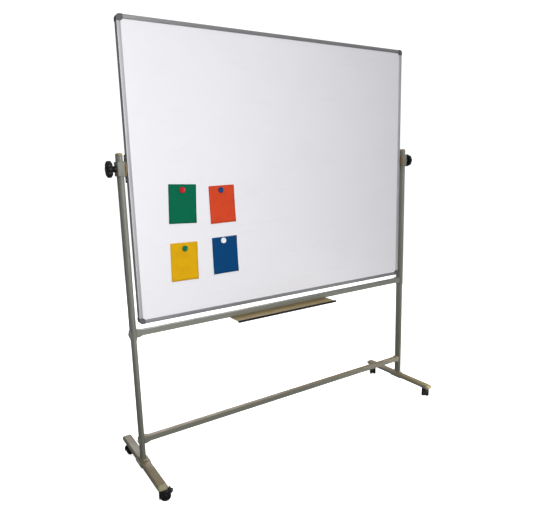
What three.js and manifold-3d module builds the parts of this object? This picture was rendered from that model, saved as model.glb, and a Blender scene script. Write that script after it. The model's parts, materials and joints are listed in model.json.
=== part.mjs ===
// A mobile revolving whiteboard: a double-sided board that turns about a horizontal axis between
// two uprights, on an H-shaped stand with four twin-wheel castors.
// Millimetres, +Z up. The origin is on the floor under the middle of the stand; X runs along the
// board, and the front of the board faces -Y.
import * as THREE from "three";
import { mergeVertices } from "three/addons/utils/BufferGeometryUtils.js";
import Module from "manifold-3d";

const wasm = await Module();
wasm.setup();

// ---------------------------------------------------------------- driving dimensions

const GAP = 0.3; // left between pieces that rest on each other

const SIDES = [
  ["left", -1],
  ["right", 1],
];

// Board
const BOARD_WIDTH = 1500;
const BOARD_HEIGHT = 1200;
const BOARD_DEPTH = 28;
const BOARD_CENTRE_Z = 1275;
const PIVOT_Z = 1308; // a little above the middle, so the board hangs steadily
const RAIL_FACE = 16;
const RAIL_WALL = 1.6;
const CORNER_LEG = 25;
const CORNER_PROUD = 0.5;
const CORNER_ROUND = 14;
const SHEET_THICKNESS = 0.5;
const SHEET_RECESS = 4; // behind the face of the frame
const SHEET_OUTER_Y = BOARD_DEPTH / 2 - SHEET_RECESS;
const SHEET_INNER_Y = SHEET_OUTER_Y - SHEET_THICKNESS;

// Stand
const UPRIGHT_X = 777;
const UPPER_TUBE = { x: 26, y: 46, wall: 1.7 };
const LOWER_TUBE = { x: 22, y: 42, wall: 1.5 };
const UPPER_TUBE_BOTTOM_Z = 612;
const UPPER_TUBE_TOP_Z = PIVOT_Z + 52;
const LOWER_TUBE_TOP_Z = 800;
const CROSSBAR = { size: 24, radius: 3, wall: 1.5, saddleWidth: 29, saddleHeight: 34 };
const UPPER_BAR_Z = 638;
const LOWER_BAR_Z = 162;
const FOOT = { width: 42, height: 21, radius: 9, wall: 1.8, halfLength: 223, topZ: 74 };
const FOOT_REACH = 240; // from the middle of the foot to the end of its plug
const PLUG_INSERT = 46;
const FOOT_SCREW = { y: 25, radius: 3, hole: 3.5 };
const BASE_PLATE = { width: 30, length: 62, thickness: 3 };

// Pivot
const STUD_RADIUS = 5;
const STUD_HOLE_RADIUS = 5.6;
const PIVOT_PLATE = { thickness: 5, depth: 22, height: 108 };
const DISC = { radius: 30, thickness: 5 };
const BLOCK = { x: 31, y: 52, z: 56, radius: 6 };
const KNOB = { neckRadius: 13, neckLength: 17, headRadius: 34, lobes: 8, lobeDepth: 1.8 };

// Bolted joints between crossbars and uprights
const BOLT_RADIUS = 4;
const BOLT_HOLE_RADIUS = 4.4;

// Pen tray
const TRAY = { length: 560, front: -92, rear: 8, thickness: 1.5, centreX: -50 };
const TRAY_EDGE = { thickness: 3.5, height: 10 };

// Castors: u runs from the stem to the trailing wheels, v along the axle
const CASTOR_Y = 208;
const WHEEL_RADIUS = 22;
const WHEEL_WIDTH = 13;
const CASTOR_TRAIL = 16;
const CASTOR_WEB = 7;
const HOOD = { inner: 23.2, outer: 25.8, width: 40, from: 62, to: 205 };
const STEM_HOLE_RADIUS = 5.6;
const PEDAL_PIVOT = { radius: 26.5, angle: 50 };
const PEDAL = { inner: 24.6, outer: 28.2, width: 30, reach: 31 };

// Cards and magnets held on the front face: centre from the middle of the board, and turn
const CARD = { width: 124, height: 163, thickness: 0.6 };
const MAGNET = { radius: 12.5, thickness: 7 };
const CARDS = [
  { name: "green", x: -529, z: -118, turn: -2.5, colour: 0x00643f },
  { name: "orange", x: -343, z: -131, turn: 1, colour: 0xcc4426 },
  { name: "yellow", x: -535, z: -362, turn: -1.2, colour: 0xd8a50c },
  { name: "blue", x: -339, z: -356, turn: 0.6, colour: 0x004173 },
];
const MAGNETS = [
  { name: "red", x: -528, z: -60, colour: 0xc12029 },
  { name: "blue", x: -348, z: -69, colour: 0x014679 },
  { name: "green", x: -531, z: -306, colour: 0x017650 },
  { name: "white", x: -347, z: -291, colour: 0xf9fefe },
];

// ---------------------------------------------------------------- materials

function material(colour, roughness, metalness = 0) {
  return new THREE.MeshStandardMaterial({ color: colour, roughness, metalness });
}

const enamel = () => material(0xf2f3f5, 0.22);
const corePanel = () => material(0xb9a583, 0.9);
const aluminium = () => material(0xb8b8b8, 0.42, 0.9);
const cornerPlastic = () => material(0x5c5d60, 0.55);
const standPaint = () => material(0x8c8a7a, 0.45);
const capPlastic = () => material(0xa79c78, 0.5);
const blackPlastic = () => material(0x141414, 0.45);
const darkSteel = () => material(0x45484a, 0.5, 0.6);
const trayPaint = () => material(0x96866a, 0.45);
const frictionFibre = () => material(0x8f7a55, 0.85);
const paper = (colour) => material(colour, 0.8);
const magnetPlastic = (colour) => material(colour, 0.3);

// ---------------------------------------------------------------- geometry helpers

const X = new THREE.Vector3(1, 0, 0);
const Y = new THREE.Vector3(0, 1, 0);
const Z = new THREE.Vector3(0, 0, 1);
const radians = THREE.MathUtils.degToRad;

// How a shape drawn in its own x and y, and extruded, lies when it runs along an axis:
// along x it is drawn in (Y, Z), along y in (X, Z) and along z in (X, Y).
const ALONG = {
  x: new THREE.Matrix4().makeBasis(Y, Z, X),
  y: new THREE.Matrix4().makeBasis(X, Z, Y.clone().negate()),
  z: new THREE.Matrix4(),
};

function prism(shape, length, axis = "z", curveSegments = 4) {
  const options = { depth: length, bevelEnabled: false, curveSegments };
  const geometry = new THREE.ExtrudeGeometry(shape, options);
  geometry.translate(0, 0, -length / 2);
  return geometry.applyMatrix4(ALONG[axis]);
}

function box(x, y, z) {
  return new THREE.BoxGeometry(x, y, z);
}

// A lathe or cylinder stands along Y; this lays it along the axis asked for.
function layAlong(geometry, axis) {
  if (axis === "x") geometry.rotateZ(-Math.PI / 2);
  if (axis === "z") geometry.rotateX(Math.PI / 2);
  return geometry;
}

function cylinder(radius, length, axis, segments = 12) {
  return layAlong(new THREE.CylinderGeometry(radius, radius, length, segments), axis);
}

// profile: [radius, height] pairs, from the axis round to the axis again
function turned(profile, axis, segments = 20) {
  const points = profile.map(([r, h]) => new THREE.Vector2(r, h));
  return layAlong(new THREE.LatheGeometry(points, segments), axis);
}

function roundedRect(width, height, radius) {
  const [w, h] = [width / 2 - radius, height / 2 - radius];
  const shape = new THREE.Shape();
  shape.absarc(w, -h, radius, -Math.PI / 2, 0);
  shape.absarc(w, h, radius, 0, Math.PI / 2);
  shape.absarc(-w, h, radius, Math.PI / 2, Math.PI);
  shape.absarc(-w, -h, radius, Math.PI, 1.5 * Math.PI);
  return shape;
}

function ellipse(width, height) {
  return new THREE.Shape().absellipse(0, 0, width / 2, height / 2, 0, 2 * Math.PI);
}

function polygon(points) {
  return new THREE.Shape(points.map(([x, y]) => new THREE.Vector2(x, y)));
}

// A rectangle whose four corners are cut off at 45 degrees.
function chamferedRect(width, height, cut) {
  const [w, h] = [width / 2, height / 2];
  const corners = [
    [w, -h + cut],
    [w, h - cut],
    [w - cut, h],
    [-w + cut, h],
    [-w, h - cut],
    [-w, -h + cut],
    [-w + cut, -h],
    [w - cut, -h],
  ];
  return polygon(corners);
}

// A geometry as a solid for cutting and joining.
function solid(geometry) {
  const bare = geometry.clone();
  bare.deleteAttribute("normal");
  bare.deleteAttribute("uv");
  const merged = mergeVertices(bare, 1e-4);
  const mesh = new wasm.Mesh({
    numProp: 3,
    vertProperties: merged.attributes.position.array,
    triVerts: Uint32Array.from(merged.index.array),
  });
  return new wasm.Manifold(mesh);
}

function geometryOf(body) {
  const mesh = body.getMesh();
  const geometry = new THREE.BufferGeometry();
  geometry.setAttribute("position", new THREE.BufferAttribute(mesh.vertProperties, 3));
  geometry.setIndex(new THREE.BufferAttribute(mesh.triVerts, 1));
  const flat = geometry.toNonIndexed();
  flat.computeVertexNormals();
  return flat;
}

function join(...geometries) {
  return geometryOf(geometries.map(solid).reduce((whole, piece) => whole.add(piece)));
}

function cut(geometry, ...tools) {
  return geometryOf(tools.map(solid).reduce((rest, tool) => rest.subtract(tool), solid(geometry)));
}

function common(first, second) {
  return geometryOf(solid(first).intersect(solid(second)));
}

function piece(name, geometry, finish, parent) {
  const mesh = new THREE.Mesh(geometry, finish);
  mesh.name = name;
  parent.add(mesh);
  return mesh;
}

// ---------------------------------------------------------------- tubes

// Elliptical tube standing on z = 0.
function ovalTube(size, length) {
  const shape = ellipse(size.x, size.y);
  shape.holes.push(ellipse(size.x - 2 * size.wall, size.y - 2 * size.wall));
  return prism(shape, length, "z", 12).translate(0, 0, length / 2);
}

// The room that an upright takes up, with a gap round it, for coping what butts against it.
function tubeRoom(size, length) {
  return prism(ellipse(size.x + 2 * GAP, size.y + 2 * GAP), length, "z", 12);
}

// ---------------------------------------------------------------- board

function writingSheet() {
  const width = BOARD_WIDTH - 2 * (RAIL_FACE + GAP);
  const height = BOARD_HEIGHT - 2 * (RAIL_FACE + GAP);
  const cornerCut = CORNER_LEG - RAIL_FACE + 2 * GAP;
  return prism(chamferedRect(width, height, cornerCut), SHEET_THICKNESS, "y");
}

// The panel reaches into the rails, and is notched where the corner caps fill the frame.
function boardCore() {
  const [w, h] = [BOARD_WIDTH / 2 - RAIL_WALL - GAP, BOARD_HEIGHT / 2 - RAIL_WALL - GAP];
  const [nx, nz] = [BOARD_WIDTH / 2 - CORNER_LEG - 2 * GAP, BOARD_HEIGHT / 2 - CORNER_LEG - 2 * GAP];
  const quarter = [
    [w, nz],
    [nx, nz],
    [nx, h],
  ];
  const outline = [
    ...quarter,
    ...quarter.map(([x, z]) => [-x, z]).reverse(),
    ...quarter.map(([x, z]) => [-x, -z]),
    ...quarter.map(([x, z]) => [x, -z]).reverse(),
  ];
  return prism(polygon(outline), 2 * (SHEET_INNER_Y - GAP), "y");
}

// Channel section: a runs inwards from the outer edge, b through the depth of the board.
function railSection() {
  const b = BOARD_DEPTH / 2;
  const half = [
    [0, b - 2],
    [0.6, b - 0.6],
    [2, b],
    [RAIL_FACE - 6, b],
    [RAIL_FACE - 1, b - 0.9],
    [RAIL_FACE, b - 1.6],
    [RAIL_FACE, SHEET_INNER_Y],
    [RAIL_FACE - RAIL_WALL, SHEET_INNER_Y],
    [RAIL_FACE - RAIL_WALL, b - RAIL_WALL - 0.6],
    [RAIL_WALL, b - RAIL_WALL],
  ];
  const mirrored = half.map(([a, depth]) => [a, -depth]).reverse();
  return polygon([...half, ...mirrored]);
}

function frameRail(edgeLength, edgeDistance) {
  const length = edgeLength - 2 * (CORNER_LEG + GAP);
  const geometry = prism(railSection(), length, "z");
  geometry.applyMatrix4(new THREE.Matrix4().makeBasis(Z, Y, X.clone().negate()));
  return geometry.translate(0, 0, -edgeDistance);
}

// L-shaped plastic corner with a rounded outer corner and a web across the inner one.
function cornerCap() {
  const [leg, face] = [CORNER_LEG + CORNER_PROUD, RAIL_FACE + CORNER_PROUD];
  const shape = new THREE.Shape();
  shape.moveTo(leg, 0);
  shape.lineTo(leg, face);
  shape.lineTo(face, leg);
  shape.lineTo(0, leg);
  shape.lineTo(0, CORNER_ROUND);
  shape.absarc(CORNER_ROUND, CORNER_ROUND, CORNER_ROUND, Math.PI, 1.5 * Math.PI);
  return prism(shape, BOARD_DEPTH + 2 * CORNER_PROUD, "y");
}

function pivotPlate() {
  const { thickness, depth, height } = PIVOT_PLATE;
  const plate = prism(roundedRect(depth, height, 6), thickness, "x");
  return cut(plate, cylinder(STUD_HOLE_RADIUS, 2 * thickness, "x"));
}

function card() {
  return prism(roundedRect(CARD.width, CARD.height, 2), CARD.thickness, "y", 1);
}

function magnet() {
  const { radius, thickness } = MAGNET;
  const profile = [
    [0, 0],
    [radius, 0],
    [radius, thickness - 2],
    [radius - 0.7, thickness - 0.6],
    [radius - 2.2, thickness],
    [0, thickness],
  ];
  return turned(profile, "y").rotateX(Math.PI); // its back on y = 0, its face towards -y
}

function board() {
  const group = new THREE.Group();
  group.position.z = BOARD_CENTRE_Z;
  piece("board_core", boardCore(), corePanel(), group);
  const sheetY = (SHEET_OUTER_Y + SHEET_INNER_Y) / 2;
  piece("front_writing_sheet", writingSheet(), enamel(), group).position.y = -sheetY;
  piece("rear_writing_sheet", writingSheet(), enamel(), group).position.y = sheetY;

  // Each rail and corner is the one before it turned a quarter about the board's middle.
  const rails = ["bottom", "left", "top", "right"];
  const corners = ["bottom_left", "top_left", "top_right", "bottom_right"];
  for (let quarter = 0; quarter < 4; quarter++) {
    const flat = quarter % 2 === 0;
    const edge = flat ? BOARD_WIDTH : BOARD_HEIGHT;
    const away = (flat ? BOARD_HEIGHT : BOARD_WIDTH) / 2;
    const rail = piece("frame_rail_" + rails[quarter], frameRail(edge, away), aluminium(), group);
    rail.rotation.y = (quarter * Math.PI) / 2;

    const cap = piece("corner_cap_" + corners[quarter], cornerCap(), cornerPlastic(), group);
    const sideX = quarter < 2 ? -1 : 1;
    const sideZ = quarter === 1 || quarter === 2 ? 1 : -1;
    cap.position.x = sideX * (BOARD_WIDTH / 2 + CORNER_PROUD);
    cap.position.z = sideZ * (BOARD_HEIGHT / 2 + CORNER_PROUD);
    cap.rotation.y = (quarter * Math.PI) / 2;
  }

  for (const [name, side] of SIDES) {
    const plate = piece("pivot_plate_" + name, pivotPlate(), darkSteel(), group);
    plate.position.x = side * (BOARD_WIDTH / 2 + GAP + PIVOT_PLATE.thickness / 2);
    plate.position.z = PIVOT_Z - BOARD_CENTRE_Z;
  }

  const cardY = -SHEET_OUTER_Y - GAP - CARD.thickness / 2;
  for (const { name, x, z, turn, colour } of CARDS) {
    const mesh = piece("card_" + name, card(), paper(colour), group);
    mesh.position.set(x, cardY, z);
    mesh.rotation.y = radians(-turn);
  }
  const magnetY = cardY - CARD.thickness / 2 - GAP;
  for (const { name, x, z, colour } of MAGNETS) {
    const mesh = piece("magnet_" + name, magnet(), magnetPlastic(colour), group);
    mesh.position.set(x, magnetY, z);
  }
  return group;
}

// ---------------------------------------------------------------- uprights and crossbars

function upperUpright() {
  const tube = ovalTube(UPPER_TUBE, UPPER_TUBE_TOP_Z - UPPER_TUBE_BOTTOM_Z);
  tube.translate(0, 0, UPPER_TUBE_BOTTOM_Z);
  const studHole = cylinder(STUD_HOLE_RADIUS, 60, "x").translate(0, 0, PIVOT_Z);
  const boltHole = cylinder(BOLT_HOLE_RADIUS, 60, "x").translate(0, 0, UPPER_BAR_Z);
  return cut(tube, studHole, boltHole);
}

function footScrews(radius, length) {
  return [-1, 1].map((end) => cylinder(radius, length, "z").translate(0, end * FOOT_SCREW.y, 0));
}

// The narrower tube, welded to a base plate that stands on the foot.
function lowerUpright() {
  const bottomZ = FOOT.topZ + GAP;
  const { width, length, thickness } = BASE_PLATE;
  const tube = ovalTube(LOWER_TUBE, LOWER_TUBE_TOP_Z - bottomZ).translate(0, 0, bottomZ);
  const plate = prism(roundedRect(width, length, 9), thickness, "z");
  const opening = prism(ellipse(12, 30), 2 * thickness, "z", 6);
  const base = cut(plate, opening, ...footScrews(FOOT_SCREW.hole, 2 * thickness));
  base.translate(0, 0, bottomZ + thickness / 2);
  const boltHoles = [LOWER_BAR_Z, UPPER_BAR_Z].map((z) =>
    cylinder(BOLT_HOLE_RADIUS, 60, "x").translate(0, 0, z),
  );
  return cut(join(tube, base), ...boltHoles);
}

// Domed cap: drawn with a radius of 1, then stretched to the oval of the tube.
function uprightCap() {
  const [rise, insert, insertRadius] = [9, 14, 0.82];
  const profile = [
    [0, -insert],
    [insertRadius, -insert],
    [insertRadius, 0],
    [1, 0],
    [1, 0.25 * rise],
    [0.93, 0.6 * rise],
    [0.74, 0.86 * rise],
    [0.45, 0.97 * rise],
    [0, rise],
  ];
  const cap = turned(profile, "z", 24);
  return cap.scale(UPPER_TUBE.x / 2 + 0.2, UPPER_TUBE.y / 2 + 0.2, 1);
}

// Square tube with a thicker saddle at each end, coped to the oval uprights.
function crossbar(upright) {
  const { size, radius, wall, saddleWidth, saddleHeight } = CROSSBAR;
  const face = UPRIGHT_X - upright.x / 2; // where the upright's inner face is
  const [saddleLength, saddleWrap] = [15, 6];
  const section = roundedRect(size, size, radius);
  section.holes.push(roundedRect(size - 2 * wall, size - 2 * wall, radius - wall));
  const tube = prism(section, 2 * (face - saddleLength / 2), "x", 2);

  const saddles = [-1, 1].map((side) => {
    const outline = roundedRect(saddleWidth, saddleHeight, 5);
    const saddle = prism(outline, saddleLength + saddleWrap, "x", 2);
    return saddle.translate(side * (face - saddleLength / 2 + saddleWrap / 2), 0, 0);
  });
  const rooms = [-1, 1].map((side) => tubeRoom(upright, 60).translate(side * UPRIGHT_X, 0, 0));
  const boltHoles = [-1, 1].map((side) =>
    cylinder(BOLT_HOLE_RADIUS, 60, "x").translate(side * face, 0, 0),
  );
  return cut(join(tube, ...saddles), ...rooms, ...boltHoles);
}

// A bolt whose saddle washer hugs the outer face of the upright. +X points outwards.
function jointBolt(upright) {
  const face = upright.x / 2;
  const [washerOut, washerWrap, headRadius, headHeight, shankIn] = [4, 6, 8, 4.5, 13];
  const washer = prism(roundedRect(25, 31, 6), washerOut + washerWrap, "x", 2);
  washer.translate(face + (washerOut - washerWrap) / 2, 0, 0);
  const coped = cut(washer, tubeRoom(upright, 60));
  const head = turned(
    [
      [0, 0],
      [headRadius, 0],
      [headRadius, headHeight - 2],
      [headRadius - 2.5, headHeight],
      [0, headHeight],
    ],
    "x",
    16,
  ).translate(face + washerOut - 0.5, 0, 0);
  const shankLength = 2 * face + shankIn + washerOut;
  const shank = cylinder(BOLT_RADIUS, shankLength, "x", 16);
  shank.translate(face + washerOut - shankLength / 2, 0, 0);
  return join(coped, head, shank);
}

// ---------------------------------------------------------------- pivot

// Block that wraps the upright where the stud goes through it.
function pivotBlock() {
  const block = prism(roundedRect(BLOCK.x, BLOCK.y, BLOCK.radius), BLOCK.z, "z", 2);
  const studHole = cylinder(STUD_HOLE_RADIUS, 60, "x");
  return cut(block, tubeRoom(UPPER_TUBE, 2 * BLOCK.z), studHole);
}

function frictionDisc() {
  const { radius, thickness } = DISC;
  const half = thickness / 2;
  const profile = [
    [0, -half],
    [radius - 1, -half],
    [radius, -half + 1],
    [radius, half - 1],
    [radius - 1, half],
    [0, half],
  ];
  return cut(turned(profile, "x", 28), cylinder(STUD_HOLE_RADIUS, 2 * thickness, "x"));
}

// Lobed hand knob with its neck and threaded stud. +X points outwards, from the upright's axis.
function knob() {
  const { neckRadius, neckLength, headRadius, lobes, lobeDepth } = KNOB;
  const bevel = 6;
  const outline = new THREE.Shape();
  const steps = lobes * 4;
  for (let i = 0; i < steps; i++) {
    const angle = (2 * Math.PI * i) / steps;
    const r = headRadius - bevel - lobeDepth * (0.5 + 0.5 * Math.cos(lobes * angle));
    const point = [r * Math.cos(angle), r * Math.sin(angle)];
    if (i === 0) outline.moveTo(...point);
    else outline.lineTo(...point);
  }
  const neckStart = BLOCK.x / 2 + GAP;
  const headStart = neckStart + neckLength - 1;
  const options = { depth: 8, bevelThickness: bevel, bevelSize: bevel, bevelSegments: 2 };
  const head = new THREE.ExtrudeGeometry(outline, options).applyMatrix4(ALONG.x);
  head.translate(headStart + bevel, 0, 0);

  const neck = turned(
    [
      [0, 0],
      [neckRadius, 0],
      [neckRadius - 1, neckLength * 0.5],
      [neckRadius + 2, neckLength],
      [neckRadius + 5, neckLength + 4],
      [0, neckLength + 4],
    ],
    "x",
  ).translate(neckStart, 0, 0);

  const studStart = BOARD_WIDTH / 2 + 2 * GAP - UPRIGHT_X;
  const studLength = neckStart + 2 - studStart;
  const stud = cylinder(STUD_RADIUS, studLength, "x").translate(studStart + studLength / 2, 0, 0);
  return join(head, neck, stud);
}

// ---------------------------------------------------------------- feet

const FOOT_CENTRE_Z = FOOT.topZ - FOOT.height / 2;
const FOOT_BOTTOM_Z = FOOT.topZ - FOOT.height;

function foot() {
  const section = roundedRect(FOOT.width, FOOT.height, FOOT.radius);
  const [width, height] = [FOOT.width - 2 * FOOT.wall, FOOT.height - 2 * FOOT.wall];
  section.holes.push(roundedRect(width, height, FOOT.radius - FOOT.wall));
  const tube = prism(section, 2 * FOOT.halfLength, "y", 3);
  const stemHoles = [-1, 1].map((end) =>
    cylinder(STEM_HOLE_RADIUS + 1, FOOT.height, "z").translate(0, end * CASTOR_Y, -FOOT.height / 2),
  );
  return cut(tube, ...stemHoles, ...footScrews(FOOT_SCREW.hole, 2 * FOOT.height));
}

// Rounded end plug; its insert holds the castor's stem in a blind socket. +Y points outwards.
function footPlug() {
  const [bevel, bevelDepth] = [6, 9];
  const inset = roundedRect(FOOT.width - 2 * bevel, FOOT.height - 2 * bevel, FOOT.radius - bevel);
  const options = { depth: 10, bevelThickness: bevelDepth, bevelSize: bevel, bevelSegments: 3 };
  options.curveSegments = 3;
  const nose = new THREE.ExtrudeGeometry(inset, options);
  nose.translate(0, 0, -options.depth - bevelDepth).applyMatrix4(ALONG.y);
  nose.rotateZ(Math.PI).translate(0, FOOT_REACH, 0);
  const inside = box(100, 200, 100).translate(0, FOOT.halfLength + GAP - 100, 0);

  const slack = 2 * (FOOT.wall + GAP);
  const insertShape = roundedRect(FOOT.width - slack, FOOT.height - slack, FOOT.radius - slack / 2);
  const insert = prism(insertShape, PLUG_INSERT, "y", 3);
  insert.translate(0, FOOT.halfLength + GAP + 1 - PLUG_INSERT / 2, 0);
  const socket = cylinder(STEM_HOLE_RADIUS, 20, "z").translate(0, CASTOR_Y, -5);
  return cut(join(cut(nose, inside), insert), socket);
}

// U-shaped saddle that clamps the foot from below, widest in the middle. Its two screws run up
// through the foot into the upright's base plate.
function footSaddle() {
  const [length, thickness, endThickness] = [72, 3.4, 1.3];
  const inner = { width: FOOT.width + 2 * GAP, height: FOOT.height + 2 * GAP };
  const outerShape = roundedRect(
    inner.width + 2 * thickness,
    inner.height + 2 * thickness,
    FOOT.radius + thickness,
  );
  const room = prism(roundedRect(inner.width, inner.height, FOOT.radius), 2 * length, "y", 3);
  const above = box(100, 2 * length, 40).translate(0, 0, 20 + FOOT.height / 2 - 6);
  const shell = cut(prism(outerShape, length, "y", 3), room, above);

  const [wide, narrow] = [inner.width / 2 + thickness, inner.width / 2 + endThickness];
  const plan = polygon([
    [wide, -length / 5],
    [wide, length / 5],
    [narrow, length / 2],
    [-narrow, length / 2],
    [-wide, length / 5],
    [-wide, -length / 5],
    [-narrow, -length / 2],
    [narrow, -length / 2],
  ]);
  const tapered = common(shell, prism(plan, 60, "z"));
  const headZ = -FOOT.height / 2 - GAP - thickness - 1;
  const heads = [-1, 1].map((end) =>
    cylinder(5.5, 4, "z", 6).translate(0, end * FOOT_SCREW.y, headZ),
  );
  const tipZ = FOOT.height / 2 + BASE_PLATE.thickness;
  const shanks = footScrews(FOOT_SCREW.radius, tipZ - headZ);
  for (const shank of shanks) shank.translate(0, 0, (tipZ + headZ) / 2);
  return join(tapered, ...heads, ...shanks);
}

// ---------------------------------------------------------------- pen tray

function penTray() {
  const depth = TRAY.rear - TRAY.front;
  const floor = box(TRAY.length, depth, TRAY.thickness);
  return floor.translate(0, (TRAY.rear + TRAY.front) / 2, 0);
}

// Plastic edge that grips the front of the tray and stands up to keep pens in.
function trayEdge() {
  const { thickness, height } = TRAY_EDGE;
  const profile = prism(roundedRect(thickness + 6, height, 1.5), TRAY.length, "x", 1);
  profile.translate(0, TRAY.front - thickness / 2 + 3, 0);
  const slot = box(2 * TRAY.length, 40, TRAY.thickness + 2 * GAP);
  slot.translate(0, TRAY.front - GAP + 20, 0);
  const above = box(2 * TRAY.length, 40, height).translate(0, TRAY.front + 1 + 20, height / 2 + 2);
  return cut(profile, slot, above);
}

// ---------------------------------------------------------------- castors

// Drawn in (u, z) round the axle, then laid so that u runs along +X and the axle along Y.
function castorPrism(shape, width, curveSegments) {
  return prism(shape, width, "y", curveSegments).translate(CASTOR_TRAIL, 0, WHEEL_RADIUS);
}

function pedalPivotPoint() {
  const angle = radians(PEDAL_PIVOT.angle);
  return [PEDAL_PIVOT.radius * Math.cos(angle), PEDAL_PIVOT.radius * Math.sin(angle)];
}

function castorHousing(braked) {
  const [from, to] = [radians(HOOD.from), radians(HOOD.to)];
  const sector = new THREE.Shape();
  sector.moveTo(0, 0);
  sector.absarc(0, 0, HOOD.outer, from, to);
  const hood = castorPrism(sector, HOOD.width, 9);
  const web = castorPrism(new THREE.Shape().absarc(0, 0, 18, 0, 2 * Math.PI), CASTOR_WEB, 10);
  const boss = cylinder(10, 14, "z").translate(0, 0, 40);
  const collar = cylinder(8, 8, "z").translate(0, 0, FOOT_BOTTOM_Z - GAP - 4);
  const stem = cylinder(STUD_RADIUS, 24, "z").translate(0, 0, 56);

  const wheelRoomWidth = 30;
  const wheelRooms = [-1, 1].map((side) => {
    const room = cylinder(HOOD.inner, wheelRoomWidth, "y", 28);
    const v = (side * (CASTOR_WEB + wheelRoomWidth)) / 2;
    return room.translate(CASTOR_TRAIL, v, WHEEL_RADIUS);
  });
  const axleHole = cylinder(3.4, 60, "y").translate(CASTOR_TRAIL, 0, WHEEL_RADIUS);
  const body = cut(join(hood, web, boss, collar, stem), ...wheelRooms, axleHole);
  if (!braked) return body;

  // An ear on the web carries the brake pedal's pin.
  const [pu, pz] = pedalPivotPoint();
  const ear = new THREE.Shape().absarc(pu, pz, 4.6, 0, 2 * Math.PI);
  const neck = polygon([
    [pu - 3.5, pz + 2.8],
    [6, 16],
    [14, 9],
    [pu + 2.5, pz - 3.8],
  ]);
  const pinHole = castorPrism(new THREE.Shape().absarc(pu, pz, 2.5, 0, 2 * Math.PI), 30, 8);
  const ears = join(castorPrism(ear, CASTOR_WEB, 8), castorPrism(neck, CASTOR_WEB));
  return cut(join(body, ears), pinHole);
}

// Two wheels pressed on one axle.
function castorWheels() {
  const half = WHEEL_WIDTH / 2;
  const profile = [
    [0, -half],
    [WHEEL_RADIUS - 1.5, -half],
    [WHEEL_RADIUS, -half + 1.5],
    [WHEEL_RADIUS, half - 2.5],
    [WHEEL_RADIUS - 2.5, half],
    [15, half],
    [13.5, half - 2],
    [0, half - 2],
  ];
  const wheels = [-1, 1].map((side) => {
    const wheel = turned(profile, "y");
    if (side < 0) wheel.rotateX(Math.PI);
    return wheel.translate(0, side * (CASTOR_WEB / 2 + 0.7 + half), 0);
  });
  const axle = cylinder(3, 2 * WHEEL_WIDTH, "y");
  return join(axle, ...wheels).translate(CASTOR_TRAIL, 0, WHEEL_RADIUS);
}

// Brake pedal: a shoe over the tread and a lever that sticks out, on a pin through the ear.
function brakePedal() {
  const [pu, pz] = pedalPivotPoint();
  const [shoeFrom, shoeTo, leverAngle, leverHalf] = [22, PEDAL_PIVOT.angle, 34, 1.8];
  const at = (radius, degrees) => [
    radius * Math.cos(radians(degrees)),
    radius * Math.sin(radians(degrees)),
  ];
  const shoe = new THREE.Shape();
  shoe.moveTo(...at(PEDAL.inner, shoeFrom));
  shoe.absarc(0, 0, PEDAL.outer, radians(shoeFrom), radians(shoeTo));
  shoe.absarc(0, 0, PEDAL.inner, radians(shoeTo), radians(shoeFrom), true);
  const [lu, lz] = at(PEDAL.inner + 1, leverAngle);
  const lever = polygon([
    [lu, lz - leverHalf],
    [lu + PEDAL.reach - PEDAL.inner, lz - leverHalf - 1],
    [lu + PEDAL.reach - PEDAL.inner + 1, lz + 0.5],
    [lu + PEDAL.reach - PEDAL.inner, lz + leverHalf],
    [lu - 1, lz + leverHalf + 2],
  ]);
  const hub = new THREE.Shape().absarc(pu, pz, 3.6, 0, 2 * Math.PI);
  const body = join(
    castorPrism(shoe, PEDAL.width, 4),
    castorPrism(lever, PEDAL.width - 6),
    castorPrism(hub, PEDAL.width, 6),
  );
  const slot = new THREE.Shape().absarc(pu, pz, 8, 0, 2 * Math.PI);
  const slotted = cut(body, castorPrism(slot, CASTOR_WEB + 1.2, 8));
  const pin = castorPrism(new THREE.Shape().absarc(pu, pz, 2.1, 0, 2 * Math.PI), PEDAL.width - 1, 8);
  return join(slotted, pin);
}

// Each castor stands at its own angle, as castors do after the board has been pushed about.
const CASTORS = [
  { name: "front_left", side: -1, end: -1, heading: -20, braked: true },
  { name: "front_right", side: 1, end: -1, heading: 40, braked: true },
  { name: "rear_left", side: -1, end: 1, heading: 290, braked: false },
  { name: "rear_right", side: 1, end: 1, heading: 230, braked: false },
];

function castors() {
  const group = new THREE.Group();
  for (const { name, side, end, heading, braked } of CASTORS) {
    const castor = new THREE.Group();
    castor.position.set(side * UPRIGHT_X, end * CASTOR_Y, 0);
    castor.rotation.z = radians(heading);
    piece("castor_housing_" + name, castorHousing(braked), blackPlastic(), castor);
    piece("castor_wheels_" + name, castorWheels(), blackPlastic(), castor);
    if (braked) piece("brake_pedal_" + name, brakePedal(), blackPlastic(), castor);
    group.add(castor);
  }
  return group;
}

// ---------------------------------------------------------------- stand

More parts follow.
